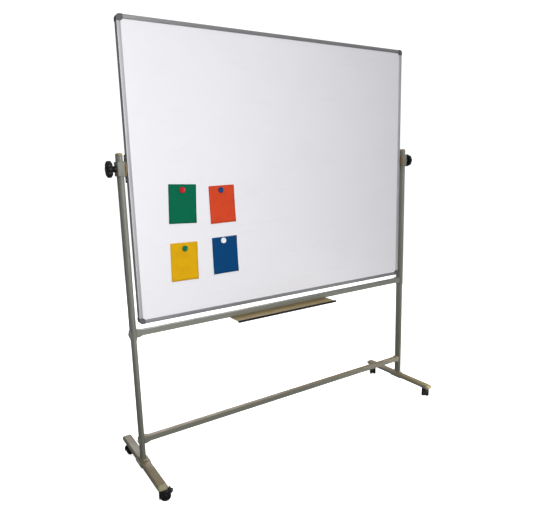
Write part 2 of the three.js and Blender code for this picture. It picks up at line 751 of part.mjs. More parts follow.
// One side of the stand, drawn for the right and turned half round for the left.
function standSide(name, side) {
  const group = new THREE.Group();
  group.position.x = side * UPRIGHT_X;
  if (side < 0) group.rotation.z = Math.PI;
  piece("upper_upright_" + name, upperUpright(), standPaint(), group);
  piece("lower_upright_" + name, lowerUpright(), standPaint(), group);
  piece("upright_cap_" + name, uprightCap(), capPlastic(), group).position.z =
    UPPER_TUBE_TOP_Z + GAP;
  piece("pivot_block_" + name, pivotBlock(), standPaint(), group).position.z = PIVOT_Z;
  const disc = piece("friction_disc_" + name, frictionDisc(), frictionFibre(), group);
  disc.position.set(-BLOCK.x / 2 - GAP - DISC.thickness / 2, 0, PIVOT_Z);
  piece("knob_" + name, knob(), blackPlastic(), group).position.z = PIVOT_Z;
  const upperBolt = piece("joint_bolt_upper_" + name, jointBolt(UPPER_TUBE), standPaint(), group);
  upperBolt.position.z = UPPER_BAR_Z;
  const lowerBolt = piece("joint_bolt_lower_" + name, jointBolt(LOWER_TUBE), standPaint(), group);
  lowerBolt.position.z = LOWER_BAR_Z;
  piece("foot_" + name, foot(), standPaint(), group).position.z = FOOT_CENTRE_Z;
  piece("foot_saddle_" + name, footSaddle(), standPaint(), group).position.z = FOOT_CENTRE_Z;
  return group;
}

function stand() {
  const group = new THREE.Group();
  for (const [name, side] of SIDES) {
    group.add(standSide(name, side));
    for (const [endName, end] of [
      ["front", -1],
      ["rear", 1],
    ]) {
      const plug = piece(`foot_plug_${endName}_${name}`, footPlug(), capPlastic(), group);
      plug.position.set(side * UPRIGHT_X, 0, FOOT_CENTRE_Z);
      if (end < 0) plug.rotation.z = Math.PI;
    }
  }
  piece("upper_crossbar", crossbar(UPPER_TUBE), standPaint(), group).position.z = UPPER_BAR_Z;
  piece("lower_crossbar", crossbar(LOWER_TUBE), standPaint(), group).position.z = LOWER_BAR_Z;

  const trayZ = UPPER_BAR_Z - CROSSBAR.size / 2 - GAP - TRAY.thickness / 2;
  piece("pen_tray", penTray(), trayPaint(), group).position.set(TRAY.centreX, 0, trayZ);
  piece("pen_tray_edge", trayEdge(), blackPlastic(), group).position.set(TRAY.centreX, 0, trayZ);
  return group;
}

const whiteboard = new THREE.Group();
whiteboard.add(board(), stand(), castors());

export default whiteboard;
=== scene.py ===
"""Looks for the mobile revolving whiteboard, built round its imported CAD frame. Metres, +Z up."""
import json
from math import atan2, cos, hypot, pi, radians, sin, sqrt, tanh

import bmesh
import bpy
from mathutils import Matrix, Vector

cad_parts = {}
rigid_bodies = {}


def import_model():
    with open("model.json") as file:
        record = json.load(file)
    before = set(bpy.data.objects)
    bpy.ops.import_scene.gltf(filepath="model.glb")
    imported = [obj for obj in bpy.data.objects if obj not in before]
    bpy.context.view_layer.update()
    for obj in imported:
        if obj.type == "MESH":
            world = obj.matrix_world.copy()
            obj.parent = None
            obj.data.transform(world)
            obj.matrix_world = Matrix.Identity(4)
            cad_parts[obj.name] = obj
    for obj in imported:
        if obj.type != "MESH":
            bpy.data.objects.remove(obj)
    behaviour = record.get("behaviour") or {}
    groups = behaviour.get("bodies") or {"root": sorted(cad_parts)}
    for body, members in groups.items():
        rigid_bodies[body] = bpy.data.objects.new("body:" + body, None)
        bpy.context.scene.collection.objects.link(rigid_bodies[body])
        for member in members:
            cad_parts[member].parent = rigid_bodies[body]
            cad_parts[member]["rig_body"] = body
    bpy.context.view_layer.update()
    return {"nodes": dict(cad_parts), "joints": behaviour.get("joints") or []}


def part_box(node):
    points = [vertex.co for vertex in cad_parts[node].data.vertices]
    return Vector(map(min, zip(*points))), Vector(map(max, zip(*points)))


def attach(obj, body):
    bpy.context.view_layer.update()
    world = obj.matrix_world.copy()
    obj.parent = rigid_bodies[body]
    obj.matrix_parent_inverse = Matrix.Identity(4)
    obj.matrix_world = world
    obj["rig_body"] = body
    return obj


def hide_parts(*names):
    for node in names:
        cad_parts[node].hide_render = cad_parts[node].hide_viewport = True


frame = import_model()

MM = 0.001
SIDES = {"left": -1, "right": 1}
CASTORS = ("front_left", "front_right", "rear_left", "rear_right")
BRAKED = ("front_left", "front_right")
SHARP_FROM = 35  # degrees
JOINTS = {joint["name"]: joint for joint in frame["joints"]}

# Camera
CAMERA_PLACE = Vector((-1.362, -1.985, 1.311))
CAMERA_HEADING, CAMERA_TILT, CAMERA_ROLL = radians(32.1), radians(-10.5), radians(-1.7)
CAMERA_LENS = 34.08


# ---------------------------------------------------------------- node materials

MIX_FIRST, MIX_SECOND, MIX_RESULT = 6, 7, 2  # a Mix node's colour sockets, by number


def linear(red, green, blue):
    """An sRGB colour, 0 to 255, as Blender's linear RGBA."""
    levels = [level / 255 for level in (red, green, blue)]
    return tuple(v / 12.92 if v < 0.04045 else ((v + 0.055) / 1.055) ** 2.4 for v in levels) + (1.0,)


def feed(tree, socket, value):
    """Links a socket to another node's output, or sets its value."""
    if isinstance(value, bpy.types.NodeSocket):
        tree.links.new(value, socket)
    else:
        socket.default_value = value


def add_node(tree, kind, inputs=None, **settings):
    """A new node. The keys of inputs are the names or numbers of its sockets."""
    made = tree.nodes.new(kind)
    for key, value in settings.items():
        setattr(made, key, value)
    for key, value in (inputs or {}).items():
        feed(tree, made.inputs[key], value)
    return made


def mixed(tree, share, first, second):
    """first where share is 0, second where it is 1."""
    inputs = {"Factor": share, MIX_FIRST: first, MIX_SECOND: second}
    return add_node(tree, "ShaderNodeMix", inputs, data_type="RGBA").outputs[MIX_RESULT]


class Finish:
    """One material: a Principled shader fed by procedural patterns in the piece's own coordinates."""

    def __init__(self, name, colour, roughness, metallic=0.0):
        self.material = bpy.data.materials.new(name)
        self.material.use_nodes = True
        self.material.diffuse_color = linear(*colour)
        self.tree = self.material.node_tree
        self.shader = self.tree.nodes["Principled BSDF"]
        self.shader.inputs["Metallic"].default_value = metallic
        self.colour = self.set("Base Color", linear(*colour))
        self.set("Roughness", roughness)
        self.place = self.node("ShaderNodeTexCoord").outputs["Object"]
        self.surface = self.node("ShaderNodeNewGeometry")
        self.normal = None

    def node(self, kind, inputs=None, **settings):
        return add_node(self.tree, kind, inputs, **settings)

    def set(self, name, value):
        feed(self.tree, self.shader.inputs[name], value)
        return value

    def noise(self, scale, detail=3.0, stretch=(1, 1, 1), roughness=0.5):
        """Noise from about 0.3 to 0.7, with scale features to the metre along each axis of stretch 1."""
        vector = self.node("ShaderNodeVectorMath", {0: self.place, 1: stretch}, operation="MULTIPLY")
        inputs = {"Vector": vector.outputs[0], "Scale": scale, "Detail": detail, "Roughness": roughness}
        return self.node("ShaderNodeTexNoise", inputs).outputs["Fac"]

    def between(self, value, low, high, to_low=0.0, to_high=1.0):
        """value from low to high, as to_low to to_high."""
        inputs = {"Value": value, "From Min": low, "From Max": high, "To Min": to_low, "To Max": to_high}
        return self.node("ShaderNodeMapRange", inputs).outputs["Result"]

    def times(self, first, second):
        return self.node("ShaderNodeMath", {0: first, 1: second}, operation="MULTIPLY").outputs[0]

    def tint(self, share, colour):
        """Lays a colour over the base colour, by share."""
        self.colour = self.set("Base Color", mixed(self.tree, share, self.colour, linear(*colour)))

    def vary(self, pattern, low, high):
        """Roughness from low to high over the pattern's middle range."""
        self.set("Roughness", self.between(pattern, 0.3, 0.7, low, high))

    def bump(self, height, depth):
        """Raises the surface by up to depth metres where height is 1."""
        inputs = {"Height": height, "Strength": 1.0, "Distance": depth}
        if self.normal is not None:
            inputs["Normal"] = self.normal
        self.normal = self.set("Normal", self.node("ShaderNodeBump", inputs).outputs[0])

    def upward(self):
        """1 where the surface faces up, 0 where it faces sideways or down."""
        split = self.node("ShaderNodeSeparateXYZ", {0: self.surface.outputs["Normal"]})
        return self.between(split.outputs["Z"], 0.2, 0.95)

    def below(self, height):
        """1 where the piece is well under a height, 0 above it."""
        split = self.node("ShaderNodeSeparateXYZ", {0: self.place})
        return self.between(split.outputs["Z"], height, 0.5 * height)

    def edges(self, radius):
        """1 along edges that stand out, 0 on flat stretches."""
        bevel = self.node("ShaderNodeBevel", {"Radius": radius}, samples=4)
        inputs = {0: bevel.outputs[0], 1: self.surface.outputs["True Normal"]}
        flat = self.node("ShaderNodeVectorMath", inputs, operation="DOT_PRODUCT").outputs["Value"]
        return self.between(flat, 0.98, 0.75)


def enamel():
    """Glossy white enamel: faint clouds left by the wiping cloth, fine wiping scratches, slight ripple."""
    finish = Finish("white_enamel", (241, 240, 243), 0.2)
    clouds = finish.noise(4.0, 5.0, (1, 1, 1.6), 0.6)
    finish.tint(finish.between(clouds, 0.45, 0.75, 0.0, 0.16), (226, 228, 232))
    wipes = finish.noise(60.0, 4.0, (0.12, 1, 1))
    finish.tint(finish.between(wipes, 0.62, 0.78, 0.0, 0.10), (196, 200, 208))
    finish.vary(clouds, 0.29, 0.38)
    finish.bump(finish.noise(7.0, 2.0), 0.4 * MM)
    finish.bump(finish.noise(900.0, 2.0), 0.01 * MM)
    return finish.material


def core_board():
    """Fibreboard: short matted fibres."""
    finish = Finish("fibreboard", (183, 163, 128), 0.9)
    fibres = finish.noise(700.0, 4.0, (1, 1, 0.3))
    finish.tint(finish.between(fibres, 0.4, 0.7), (140, 118, 86))
    finish.bump(fibres, 0.15 * MM)
    return finish.material


def drawn_aluminium(name, colour, stretch):
    """Satin anodised extrusion. Drawing lines run along the axis whose stretch is small."""
    finish = Finish(name, colour, 0.4, metallic=0.65)
    lines = finish.noise(2600.0, 2.0, stretch)
    finish.tint(finish.between(lines, 0.35, 0.7, 0.0, 0.5), tuple(0.82 * level for level in colour))
    handling = finish.noise(9.0, 4.0)
    finish.tint(finish.between(handling, 0.5, 0.75, 0.0, 0.25), tuple(0.75 * level for level in colour))
    finish.vary(handling, 0.34, 0.5)
    finish.bump(lines, 0.02 * MM)
    return finish.material


def moulded(name, colour, wear):
    """Moulded plastic with a fine spark-eroded grain, and edges rubbed lighter."""
    finish = Finish(name, colour, 0.5)
    cloud = finish.noise(40.0, 3.0)
    rub = finish.times(finish.edges(0.8 * MM), finish.between(cloud, 0.35, 0.6))
    finish.tint(finish.times(rub, 0.5), wear)
    finish.vary(cloud, 0.42, 0.6)
    finish.bump(finish.noise(2400.0, 2.0), 0.03 * MM)
    return finish.material


def powder_coat():
    """Grey-beige powder coat: orange peel, rubbed edges, painted shade that darkens the lower parts, and
    painted warm top light on what faces up near the floor.
    """
    finish = Finish("powder_coat", (134, 134, 124), 0.45)
    cloud = finish.noise(14.0, 4.0)
    finish.tint(finish.between(cloud, 0.35, 0.7, 0.0, 0.3), (118, 120, 112))
    # Painted shade: the parts below about 0.6 m are darkened.
    finish.tint(finish.times(finish.below(0.6), 0.8), (108, 109, 97))
    # Painted warm top light: faces turned up near the floor are tinted tan.
    painted_top_light = finish.times(finish.upward(), finish.between(cloud, 0.2, 0.7, 0.75, 0.95))
    finish.tint(finish.times(painted_top_light, finish.below(0.4)), (124, 109, 74))
    rub = finish.times(finish.edges(0.9 * MM), finish.between(finish.noise(90.0), 0.4, 0.6))
    finish.tint(finish.times(rub, 0.6), (176, 174, 160))
    speckle = finish.noise(1500.0, 1.0)
    finish.tint(finish.between(speckle, 0.55, 0.7, 0.0, 0.4), (92, 94, 86))
    finish.vary(cloud, 0.34, 0.5)
    finish.bump(finish.noise(520.0, 2.0), 0.14 * MM)
    return finish.material


def tray_paint():
    """Tan enamel on folded sheet, with streaks along the tray and a little pen dust."""
    finish = Finish("tray_paint", (174, 150, 100), 0.42)
    streaks = finish.noise(120.0, 3.0, (0.08, 1, 1))
    finish.tint(finish.between(streaks, 0.4, 0.7, 0.0, 0.35), (154, 132, 88))
    specks = finish.noise(900.0, 2.0)
    finish.tint(finish.between(specks, 0.66, 0.74, 0.0, 0.5), (90, 86, 80))
    finish.vary(streaks, 0.34, 0.52)
    finish.bump(finish.noise(700.0, 2.0), 0.04 * MM)
    return finish.material


def black_plastic():
    """Black moulded plastic, greyer where it is handled or dusty."""
    finish = Finish("black_plastic", (11, 11, 10), 0.42)
    finish.set("Specular IOR Level", 0.3)
    cloud = finish.noise(45.0, 4.0)
    finish.tint(finish.between(cloud, 0.5, 0.75, 0.0, 0.3), (34, 33, 31))
    rub = finish.times(finish.edges(0.7 * MM), finish.between(cloud, 0.35, 0.6))
    finish.tint(finish.times(rub, 0.3), (66, 65, 61))
    finish.vary(cloud, 0.34, 0.5)
    finish.bump(finish.noise(2200.0, 2.0), 0.03 * MM)
    return finish.material


def tyre():
    """The wheels' hard tread and discs: black, with floor dust in faint bands round the tread."""
    finish = Finish("wheel_nylon", (10, 10, 10), 0.5)
    finish.set("Specular IOR Level", 0.3)
    painted_top_light = finish.noise(130.0, 4.0)
    finish.tint(finish.between(painted_top_light, 0.5, 0.75, 0.0, 0.4), (58, 56, 50))
    finish.vary(painted_top_light, 0.42, 0.62)
    finish.bump(finish.noise(1500.0, 2.0), 0.04 * MM)
    return finish.material


def friction_fibre():
    """Pressed friction fibre: coarse, matt, with darker flecks."""
    finish = Finish("friction_fibre", (148, 127, 90), 0.9)
    flecks = finish.noise(900.0, 4.0)
    finish.tint(finish.between(flecks, 0.45, 0.68, 0.0, 0.7), (104, 84, 52))
    finish.bump(flecks, 0.12 * MM)
    return finish.material


def dark_steel():
    """Dark painted steel, chipped a little along the edges."""
    finish = Finish("dark_steel", (62, 64, 66), 0.48, metallic=0.3)
    cloud = finish.noise(60.0, 4.0)
    chips = finish.times(finish.edges(0.6 * MM), finish.between(cloud, 0.5, 0.6))
    finish.tint(finish.times(chips, 0.6), (150, 150, 150))
    finish.vary(cloud, 0.4, 0.56)
    finish.bump(finish.noise(900.0, 2.0), 0.03 * MM)
    return finish.material


def zinc():
    """Zinc-plated steel for screws: mottled, with a slightly yellow cast."""
    finish = Finish("zinc", (170, 168, 160), 0.35, metallic=1.0)
    mottle = finish.noise(600.0, 3.0)
    finish.tint(finish.between(mottle, 0.4, 0.65, 0.0, 0.5), (128, 126, 120))
    finish.vary(mottle, 0.28, 0.45)
    return finish.material


def card_stock(name, colour):
    """Coloured card: matted fibres and a slightly uneven dye."""
    finish = Finish(name, colour, 0.82)
    finish.set("Specular IOR Level", 0.12)
    darker = tuple(0.88 * level for level in colour)
    finish.tint(finish.between(finish.noise(30.0, 4.0), 0.4, 0.7, 0.0, 0.35), darker)
    fibres = finish.noise(1100.0, 4.0, (1, 1, 0.45))
    lighter = tuple(level + 0.025 * (255 - level) for level in colour)
    finish.tint(finish.between(fibres, 0.5, 0.7, 0.0, 0.7), lighter)
    finish.bump(fibres, 0.05 * MM)
    return finish.material


def magnet_plastic(name, colour):
    """Glossy moulded button, with flow lines and a few fine scratches."""
    finish = Finish(name, colour, 0.22)
    finish.set("Specular IOR Level", 0.35)
    flow = finish.noise(70.0, 3.0)
    finish.tint(finish.between(flow, 0.45, 0.7, 0.0, 0.4), tuple(0.9 * level for level in colour))
    scratches = finish.noise(500.0, 3.0, (0.1, 1, 1))
    finish.vary(scratches, 0.16, 0.26)
    finish.bump(scratches, 0.01 * MM)
    return finish.material


COATED = powder_coat()
BLACK = black_plastic()
CAP = moulded("cap_plastic", (160, 148, 108), (190, 180, 146))
PLUG = moulded("plug_plastic", (146, 139, 108), (172, 165, 134))
CORNER = moulded("corner_plastic", (92, 92, 95), (140, 140, 142))
ENAMEL = enamel()
ZINC = zinc()


# ---------------------------------------------------------------- sections: rings of 2-D points


def oval(a, b, count=64):
    """An oval by its half axes."""
    turns = [2 * pi * (k + 0.5) / count for k in range(count)]
    return [(a * cos(t), b * sin(t)) for t in turns]


def rounded(width, height, radius, per_corner=16):
    """A rounded rectangle, point for point the mirror image of itself about both axes."""
    ring = []
    for quarter in range(4):
        across = (1, -1, -1, 1)[quarter] * (width / 2 - radius)
        up = (1, 1, -1, -1)[quarter] * (height / 2 - radius)
        for k in range(per_corner):
            turn = pi / 2 * (quarter + k / (per_corner - 1))
            ring.append((across + radius * cos(turn), up + radius * sin(turn)))
    return ring


def oval_section(a, b):
    """An oval by its half axes, that can be inset."""
    return lambda inset: oval(a - inset, b - inset)


def rounded_section(half_width, half_height, radius):
    """A rounded rectangle by its half sizes, that can be inset."""

    def section(inset):
        width, height = 2 * (half_width - inset), 2 * (half_height - inset)
        return rounded(width, height, max(radius - inset, 0.3 * MM))

    return section


def oval_facing(ring, a, b):
    """An oval with one point for each point of the ring, in the same direction."""
    turns = [atan2(q / b, p / a) for p, q in ring]
    return [(a * cos(t), b * sin(t)) for t in turns]


def hexagon(across, count=36):
    """A hexagon by its width across flats, as count points."""
    ring = []
    for k in range(count):
        turn = 2 * pi * k / count
        reach = across / 2 / cos((turn + pi / 6) % (pi / 3) - pi / 6)
        ring.append((reach * cos(turn), reach * sin(turn)))
    return ring


def at(axis, ring, place):
    """A 2-D ring as 3-D points, square to an axis at place: in (Y, Z), (X, Z) or (X, Y)."""
    if axis == "x":
        return [(place, p, q) for p, q in ring]
    if axis == "y":
        return [(p, place, q) for p, q in ring]
    return [(p, q, place) for p, q in ring]


# ---------------------------------------------------------------- skins: points and faces


def loft(rings, loop=False):
    """A skin over rings of 3-D points with flat ends; a loop joins the last ring to the first."""
    count = len(rings[0])
    points = [point for ring in rings for point in ring]
    faces = []
    for i in range(len(rings) - (0 if loop else 1)):
        a, b = i * count, (i + 1) % len(rings) * count
        faces += [(a + k, a + (k + 1) % count, b + (k + 1) % count, b + k) for k in range(count)]
    if not loop:
        last = len(points) - count
        faces += [tuple(reversed(range(count))), tuple(range(last, last + count))]
    return points, faces


def turned(profile, axis="z", count=64):
    """A round piece from (radius, height) pairs."""
    return loft([at(axis, oval(radius, radius, count), height) for radius, height in profile])


def tube(section, wall, start, end, axis, lip=0.6 * MM):
    """A hollow bar. section(inset) gives its ring, and lip rounds the edges of its mouths."""
    stations = [
        (lip, start),
        (0.3 * lip, start + 0.3 * lip),
        (0, start + lip),
        (0, end - lip),
        (0.3 * lip, end - 0.3 * lip),
        (lip, end),
        (wall, end),
        (wall, start),
    ]
    return loft([at(axis, section(inset), place) for inset, place in stations], loop=True)


def moved(skin, matrix):
    """A skin with each of its points carried by a matrix."""
    points, faces = skin
    return [matrix @ Vector(point) for point in points], faces


# ---------------------------------------------------------------- pieces


def shade(mesh, sharp_from=SHARP_FROM):
    """Smooth shading, but for the edges sharper than an angle in degrees."""
    mesh.shade_smooth()
    mesh.set_sharp_from_angle(angle=radians(sharp_from))


def new_object(name, skins, sharp_from=SHARP_FROM):
    """One mesh object made of several skins."""
    bm = bmesh.new()
    for points, faces in skins:
        corners = [bm.verts.new(point) for point in points]
        for face in faces:
            bm.faces.new([corners[i] for i in face])
    bmesh.ops.recalc_face_normals(bm, faces=bm.faces)
    mesh = bpy.data.meshes.new(name)
    bm.to_mesh(mesh)
    bm.free()
    shade(mesh, sharp_from)
    obj = bpy.data.objects.new(name, mesh)
    bpy.context.scene.collection.objects.link(obj)
    return obj


def stand_for(node, skins, material, place=Matrix(), sharp_from=SHARP_FROM):
    """A finer piece shown in place of a CAD node: it rides on the node's body."""
    obj = new_object(node + "_fine", [moved(skin, place) for skin in skins], sharp_from)
    return finish_piece(obj, node, material)


def finish_piece(obj, node, material):
    """Gives a piece its material, and has it stand for a CAD node."""
    obj.data.materials.clear()
    obj.data.materials.append(material)
    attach(obj, frame["nodes"][node]["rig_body"])
    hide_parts(node)
    return obj


def add_to(node, name, skins, material, place=Matrix()):
    """A small piece that the CAD leaves out, riding with a node's body."""
    obj = new_object(name, [moved(skin, place) for skin in skins])
    obj.data.materials.append(material)
    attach(obj, frame["nodes"][node]["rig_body"])
    return obj


def combine(base, tool, operation):
    """Joins tool to base, or cuts it out of base, and removes the tool."""
    modifier = base.modifiers.new("combine", "BOOLEAN")
    modifier.operation = operation
    modifier.solver = "EXACT"
    modifier.object = tool
    bpy.context.view_layer.update()
    made = bpy.data.meshes.new_from_object(base.evaluated_get(bpy.context.evaluated_depsgraph_get()))
    base.modifiers.remove(modifier)
    base.data = made
    bpy.data.objects.remove(tool)


def soften(obj, width, angle):
    """Rounds every edge sharper than an angle, so that it catches the light."""
    custom = obj.data.attributes.get("custom_normal")
    if custom:
        obj.data.attributes.remove(custom)
    obj.data.shade_smooth()
    weld = obj.modifiers.new("weld", "WELD")
    weld.merge_threshold = 0.01 * MM
    bevel = obj.modifiers.new("bevel", "BEVEL")
    bevel.width = width
    bevel.segments = 3
    bevel.limit_method = "ANGLE"
    bevel.angle_limit = radians(angle)
    bevel.harden_normals = True


def keep_node(node, material, round_edges=0.0, angle=30):
    """Shows a CAD node as it is, but for its edges."""
    obj = frame["nodes"][node]
    obj.data.materials.clear()
    obj.data.materials.append(material)
    if round_edges:
        soften(obj, round_edges, angle)


def middle(node):
    """The middle of a node's box at rest."""
    low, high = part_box(node)
    return (low + high) / 2


def half_size(node):
    """Half the size of a node's box along each axis."""
    low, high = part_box(node)
    return (high - low) / 2


def facing(sign):
    """No turn for 1, and half a turn about Z for -1."""
    return Matrix.Rotation(0 if sign > 0 else pi, 4, "Z")


def side_place(side, node):
    """A frame at the middle of a node of one side of the stand, on the upright's axis, +X outwards."""
    upright_x = middle("upper_upright_" + side).x
    return Matrix.Translation((upright_x, 0, middle(node).z)) @ facing(SIDES[side])


# ---------------------------------------------------------------- board

CARD_TURN = {"green": -2.5, "orange": 1.0, "yellow": -1.2, "blue": 0.6}  # degrees, as in the CAD
CARD_SIZE = (124 * MM, 163 * MM)
CARD_COLOUR = {
    "green": (0, 104, 72),
    "orange": (214, 72, 38),
    "yellow": (222, 170, 10),
    "blue": (0, 66, 118),
}
MAGNET_COLOUR = {
    "red": (196, 22, 32),
    "blue": (0, 62, 120),
    "green": (0, 112, 72),
    "white": (246, 247, 247),
}


def cards():
    """Cards that lie flat under their magnets and lift a little towards the lower corners."""
    width, height = CARD_SIZE
    across, down = 12, 16
    flat_above, corner_lift, lean = 0.2, 2.2, 0.6
    for number, (name, degrees) in enumerate(CARD_TURN.items()):
        node = "card_" + name
        centre = middle(node)
        lift = (2.2 + 0.5 * number) * MM
        points = []
        for j in range(down + 1):
            for i in range(across + 1):
                u, v = i / across - 0.5, 0.5 - j / down
                drop = max(0.0, flat_above - v)
                curl = lift * drop ** 2 * (1 + corner_lift * abs(u) * (1 + lean * u))
                points.append((u * width, -curl, v * height))
        row = across + 1
        faces = [
            (j * row + i, j * row + i + 1, (j + 1) * row + i + 1, (j + 1) * row + i)
            for j in range(down)
            for i in range(across)
        ]
        turn = Matrix.Rotation(radians(-degrees), 4, "Y")
        material = card_stock("card_" + name, CARD_COLOUR[name])
        card = stand_for(node, [(points, faces)], material, Matrix.Translation(centre) @ turn, 180)
        thickness = card.modifiers.new("thickness", "SOLIDIFY")
        thickness.thickness = 0.4 * MM
        thickness.offset = 0


def magnets():
    """Round buttons with a domed face, a finger recess and a raised rim."""
    for name, colour in MAGNET_COLOUR.items():
        node = "magnet_" + name
        half = half_size(node)
        radius, height = half.x, 2 * half.y
        # (radius, height above the card)
        profile = [
            (radius - 0.6 * MM, 0),
            (radius, 0.6 * MM),
            (radius, height - 2.6 * MM),
            (radius - 0.35 * MM, height - 1.4 * MM),
            (radius - 1.2 * MM, height - 0.45 * MM),
            (radius - 2.4 * MM, height),
            (radius - 3.4 * MM, height - 0.1 * MM),
            (radius - 4.6 * MM, height - 0.7 * MM),
            (radius - 7.0 * MM, height - 1.1 * MM),
            (1.5 * MM, height - 1.25 * MM),
        ]
        back = Vector((middle(node).x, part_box(node)[1].y, middle(node).z))
        place = Matrix.Translation(back) @ facing(-1)
        stand_for(node, [turned(profile, "y")], magnet_plastic("magnet_" + name, colour), place)


def corner_cap(node):
    """The CAD's corner with rounded edges, and a panel sunk into its front and its back."""
    cap = bpy.data.objects.new(node + "_fine", frame["nodes"][node].data.copy())
    bpy.context.scene.collection.objects.link(cap)
    bm = bmesh.new()
    bm.from_mesh(cap.data)
    bmesh.ops.remove_doubles(bm, verts=bm.verts, dist=0.01 * MM)
    bmesh.ops.dissolve_limit(bm, angle_limit=radians(1), verts=bm.verts, edges=bm.edges)
    for y in (corner.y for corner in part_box(node)):
        panel = [face for face in bm.faces if all(abs(v.co.y - y) < 0.01 * MM for v in face.verts)]
        # A flat margin, then a sloping step down
        for width, depth in ((3.2 * MM, 0), (0.8 * MM, -0.7 * MM)):
            bmesh.ops.inset_region(bm, faces=panel, thickness=width, depth=depth, use_even_offset=True)
    bm.to_mesh(cap.data)
    bm.free()
    finish_piece(cap, node, CORNER)
    soften(cap, 1.2 * MM, 30)


def board_frame():
    """The rails, corners, core and writing sheets."""
    # One aluminium in two tones: the top and bottom rails are painted darker as shade, and the side rails are
    # painted lighter as light.
    aluminium_painted_shade = drawn_aluminium("aluminium_along_painted_shade", (152, 152, 153), (0.004, 1, 1))
    aluminium_painted_light = drawn_aluminium("aluminium_upright_painted_light", (200, 200, 201), (1, 1, 0.004))
    for material, edges in ((aluminium_painted_shade, ("top", "bottom")), (aluminium_painted_light, ("left", "right"))):
        for edge in edges:
            keep_node("frame_rail_" + edge, material, 0.35 * MM, 20)
    for corner in ("top_left", "top_right", "bottom_left", "bottom_right"):
        corner_cap("corner_cap_" + corner)
    keep_node("board_core", core_board())
    keep_node("front_writing_sheet", ENAMEL)
    keep_node("rear_writing_sheet", ENAMEL)


def screw_head(radius, height, socket, axis="x"):
    """A low button head with a hexagon socket, standing on zero."""
    ring = 36
    outside = [(radius, 0), (radius, 0.45 * height), (0.9 * radius, 0.8 * height), (0.7 * radius, height)]
    rings = [at(axis, oval(r, r, ring), h) for r, h in outside]
    rings += [at(axis, hexagon(socket, ring), height), at(axis, hexagon(socket, ring), 0.35 * height)]
    return loft(rings)


def pivot_plates():
    """The plates on the board's side rails, each with a screw near either end."""
    steel = dark_steel()
    for side, sign in SIDES.items():
        node = "pivot_plate_" + side
        keep_node(node, steel, 0.8 * MM)
        half, centre = half_size(node), middle(node)
        screw_z = 0.78 * half.z
        for end, way in (("bottom", -1), ("top", 1)):
            spot = (centre.x + sign * half.x, 0, centre.z + way * screw_z)
            head = screw_head(4.2 * MM, 1.8 * MM, 2.5 * MM)
            place = Matrix.Translation(spot) @ facing(sign)
            add_to(node, f"plate_screw_{side}_{end}", [head], ZINC, place)


# ---------------------------------------------------------------- uprights and crossbars

UPPER_WALL, LOWER_WALL = 1.7 * MM, 1.5 * MM
LOWER_TUBE = Vector((11 * MM, 21 * MM, 0))  # half axes of its oval
BASE_PLATE = 3 * MM  # thick
BAR = 24 * MM  # square


def upper_uprights():
    """The wide tubes, open at both ends."""
    for side in SIDES:
        node = "upper_upright_" + side
        low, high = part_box(node)
        half = half_size(node)
        skin = tube(oval_section(half.x, half.y), UPPER_WALL, low.z, high.z, "z", 0.8 * MM)
        stand_for(node, [skin], COATED, Matrix.Translation((middle(node).x, 0, 0)))


def weld_bead(a, b, z):
    """A rippled fillet round the foot of an oval tube."""
    rings = []
    # In mm: (out from the tube, up)
    for out, up in ((-0.4, 0), (3.2, 0), (2.5, 0.9), (1.4, 1.7), (0.6, 2.9), (-0.4, 3.2)):
        ring = []
        for k, (p, q) in enumerate(oval(a, b, 160)):
            ripple = 1 + 0.05 * sin(2 * pi * k / 5)
            grow = out * MM * ripple
            length = hypot(p / a, q / b)
            ring.append((p + grow * p / a / length, q + grow * q / b / length, z + up * MM))
        rings.append(ring)
    return loft(rings, loop=True)


def lower_uprights():
    """The narrow tube, its base plate and the weld between them."""
    for side in SIDES:
        node = "lower_upright_" + side
        low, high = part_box(node)
        half = half_size(node)
        section = oval_section(LOWER_TUBE.x, LOWER_TUBE.y)
        skin = tube(section, LOWER_WALL, low.z + 0.1 * MM, high.z, "z")
        outline = rounded_section(half.x, half.y, 9 * MM)
        edge = [(0.4 * MM, 0), (0, 0.4 * MM), (0, BASE_PLATE - 0.6 * MM), (0.6 * MM, BASE_PLATE)]
        plate = [at("z", outline(inset), low.z + up) for inset, up in edge]
        bead = weld_bead(LOWER_TUBE.x, LOWER_TUBE.y, low.z + BASE_PLATE)
        stand_for(node, [skin, loft(plate), bead], COATED, Matrix.Translation((middle(node).x, 0, 0)))


def upright_caps():
    """Push-in caps: a plug inside the tube, a rim band, a fine groove and a dome."""
    for side in SIDES:
        node = "upright_cap_" + side
        low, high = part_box(node)
        half = half_size(node)
        tube_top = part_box("upper_upright_" + side)[1].z
        base = tube_top + 0.3 * MM
        dome = high.z - base - 2.6 * MM
        # (inset in mm, height)
        inset_at = [(2.4, low.z), (2.0, low.z + 1 * MM), (2.0, base), (0.3, base), (0, base + 0.4 * MM)]
        inset_at += [(0, base + 2.0 * MM), (0.35, base + 2.2 * MM), (0.35, base + 2.6 * MM)]
        steps = 12
        for k in range(1, steps + 1):
            turn = pi / 2 * k / steps
            inset_at.append((0.35 + 10.6 * (1 - cos(turn)), base + 2.6 * MM + dome * sin(turn)))
        section = oval_section(half.x, half.y)
        rings = [at("z", section(inset * MM), z) for inset, z in inset_at]
        stand_for(node, [loft(rings)], CAP, Matrix.Translation((middle(node).x, 0, 0)))


def coped(ring, a, b, offset):
    """A (Y, Z) ring laid on the outside of an upright of half axes a and b, offset from it."""
    return [((a + offset) * sqrt(1 - (p / (b + offset)) ** 2), p, q) for p, q in ring]


